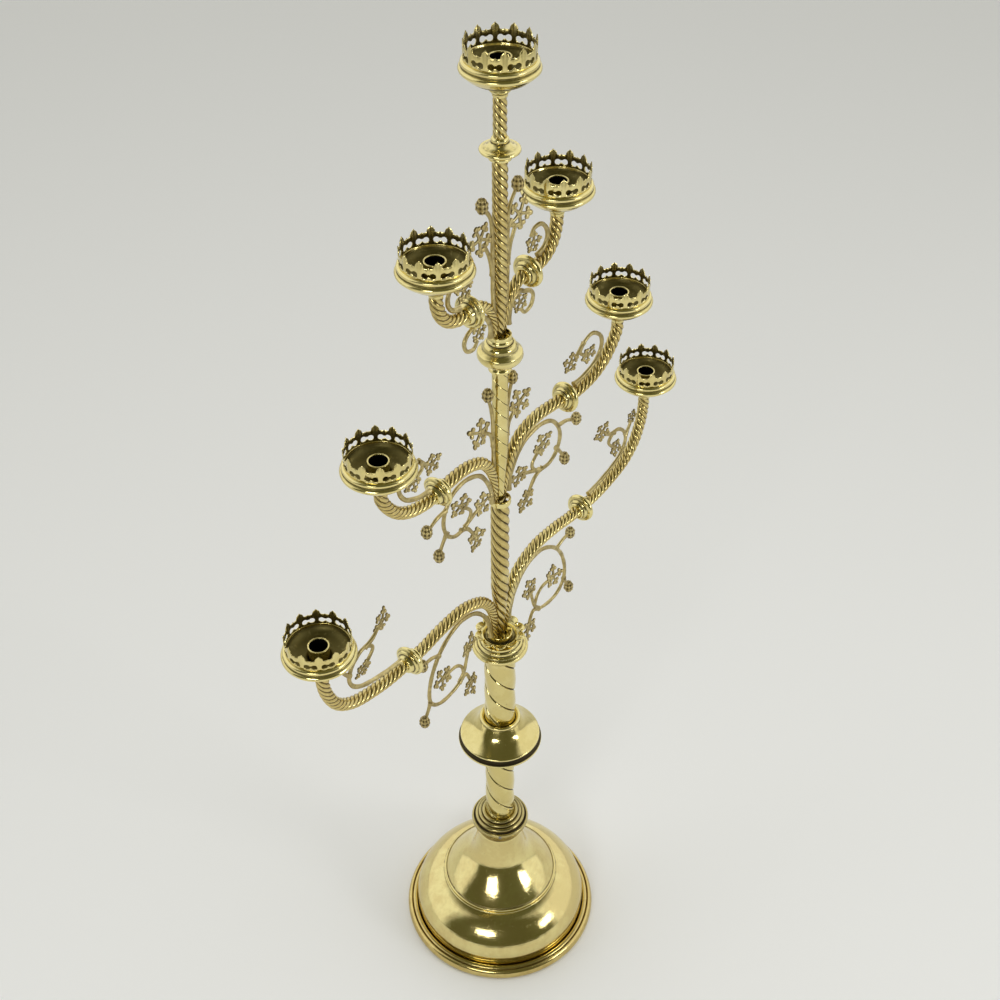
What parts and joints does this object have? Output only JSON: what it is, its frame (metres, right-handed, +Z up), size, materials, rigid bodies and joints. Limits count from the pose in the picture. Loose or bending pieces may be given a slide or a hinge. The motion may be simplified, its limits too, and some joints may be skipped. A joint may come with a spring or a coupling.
{
  "type": "candelabra",
  "caption": "Tall brass branched candelabra: domed foot, twisted stem, paired rope-twist arms with vine-leaf scrollwork and crown-shaped candle cups.",
  "frame": {"origin": "on the floor, under the stem's axis", "axes": "+Z up along the stem; the arms spread along X, +X to the right-hand arms"},
  "size_m": [0.571, 0.225, 1.1],
  "materials": {
    "polished_brass": "polished, lightly worn and pitted",
    "aged_brass": "cast, dull, dark in the hollows",
    "patinated_brass": "brown patina, bright on the ridges",
    "steel": "plain drawn rod"
  },
  "bodies": {
    "frame": {"arm_collar": "polished_brass", "arm_low_left": "polished_brass", "arm_low_right": "polished_brass", "arm_mid_left": "polished_brass", "arm_mid_right": "polished_brass", "arm_top_left": "polished_brass", "arm_top_right": "polished_brass", "binding_ring": "polished_brass", "column_high": "polished_brass", "column_knop": "polished_brass", "column_low": "polished_brass", "foot_bell": "polished_brass", "foot_collar": "patinated_brass", "foot_dome": "polished_brass", "foot_nut": "steel", "foot_rim": "polished_brass", "high_knop": "polished_brass", "knop_low_left": "polished_brass", "knop_low_right": "polished_brass", "knop_mid_left": "polished_brass", "knop_mid_right": "polished_brass", "knop_top_left": "polished_brass", "knop_top_right": "polished_brass", "mid_knop": "polished_brass", "mid_stem": "polished_brass", "petal_cup": "polished_brass", "rope_high": "polished_brass", "rope_low": "polished_brass", "rope_top": "polished_brass", "spray_inner_low_left": "aged_brass", "spray_inner_low_right": "aged_brass", "spray_inner_mid_left": "aged_brass", "spray_inner_mid_right": "aged_brass", "spray_inner_top_left": "aged_brass", "spray_inner_top_right": "aged_brass", "spray_outer_low_left": "aged_brass", "spray_outer_low_right": "aged_brass", "spray_outer_mid_left": "aged_brass", "spray_outer_mid_right": "aged_brass", "spray_outer_top_left": "aged_brass", "spray_outer_top_right": "aged_brass", "sprig_high_left": "aged_brass", "sprig_high_right": "aged_brass", "sprig_mid_left": "aged_brass", "sprig_mid_right": "aged_brass", "tie_rod": "steel"},
    "light_centre": {"cup_centre": "polished_brass", "gallery_centre": "polished_brass"},
    "light_low_left": {"cup_low_left": "polished_brass", "gallery_low_left": "polished_brass"},
    "light_low_right": {"cup_low_right": "polished_brass", "gallery_low_right": "polished_brass"},
    "light_mid_left": {"cup_mid_left": "polished_brass", "gallery_mid_left": "polished_brass"},
    "light_mid_right": {"cup_mid_right": "polished_brass", "gallery_mid_right": "polished_brass"},
    "light_top_left": {"cup_top_left": "polished_brass", "gallery_top_left": "polished_brass"},
    "light_top_right": {"cup_top_right": "polished_brass", "gallery_top_right": "polished_brass"}
  },
  "joints": [
    {"name": "turn_centre", "type": "hinge", "parent": "frame", "child": "light_centre", "pos_m": [0, 0, 1.056], "axis": [0, 0, 1], "continuous": true},
    {"name": "turn_low_left", "type": "hinge", "parent": "frame", "child": "light_low_left", "pos_m": [-0.253, 0, 0.6222], "axis": [0, 0, 1], "continuous": true},
    {"name": "turn_low_right", "type": "hinge", "parent": "frame", "child": "light_low_right", "pos_m": [0.253, 0, 0.6222], "axis": [0, 0, 1], "continuous": true},
    {"name": "turn_mid_left", "type": "hinge", "parent": "frame", "child": "light_mid_left", "pos_m": [-0.1644, 0, 0.7661], "axis": [0, 0, 1], "continuous": true},
    {"name": "turn_mid_right", "type": "hinge", "parent": "frame", "child": "light_mid_right", "pos_m": [0.1701, -0.01309, 0.7661], "axis": [0, 0, 1], "continuous": true},
    {"name": "turn_top_left", "type": "hinge", "parent": "frame", "child": "light_top_left", "pos_m": [-0.0846, 0, 0.9167], "axis": [0, 0, 1], "continuous": true},
    {"name": "turn_top_right", "type": "hinge", "parent": "frame", "child": "light_top_right", "pos_m": [0.0817, 0, 0.9167], "axis": [0, 0, 1], "continuous": true}
  ]
}
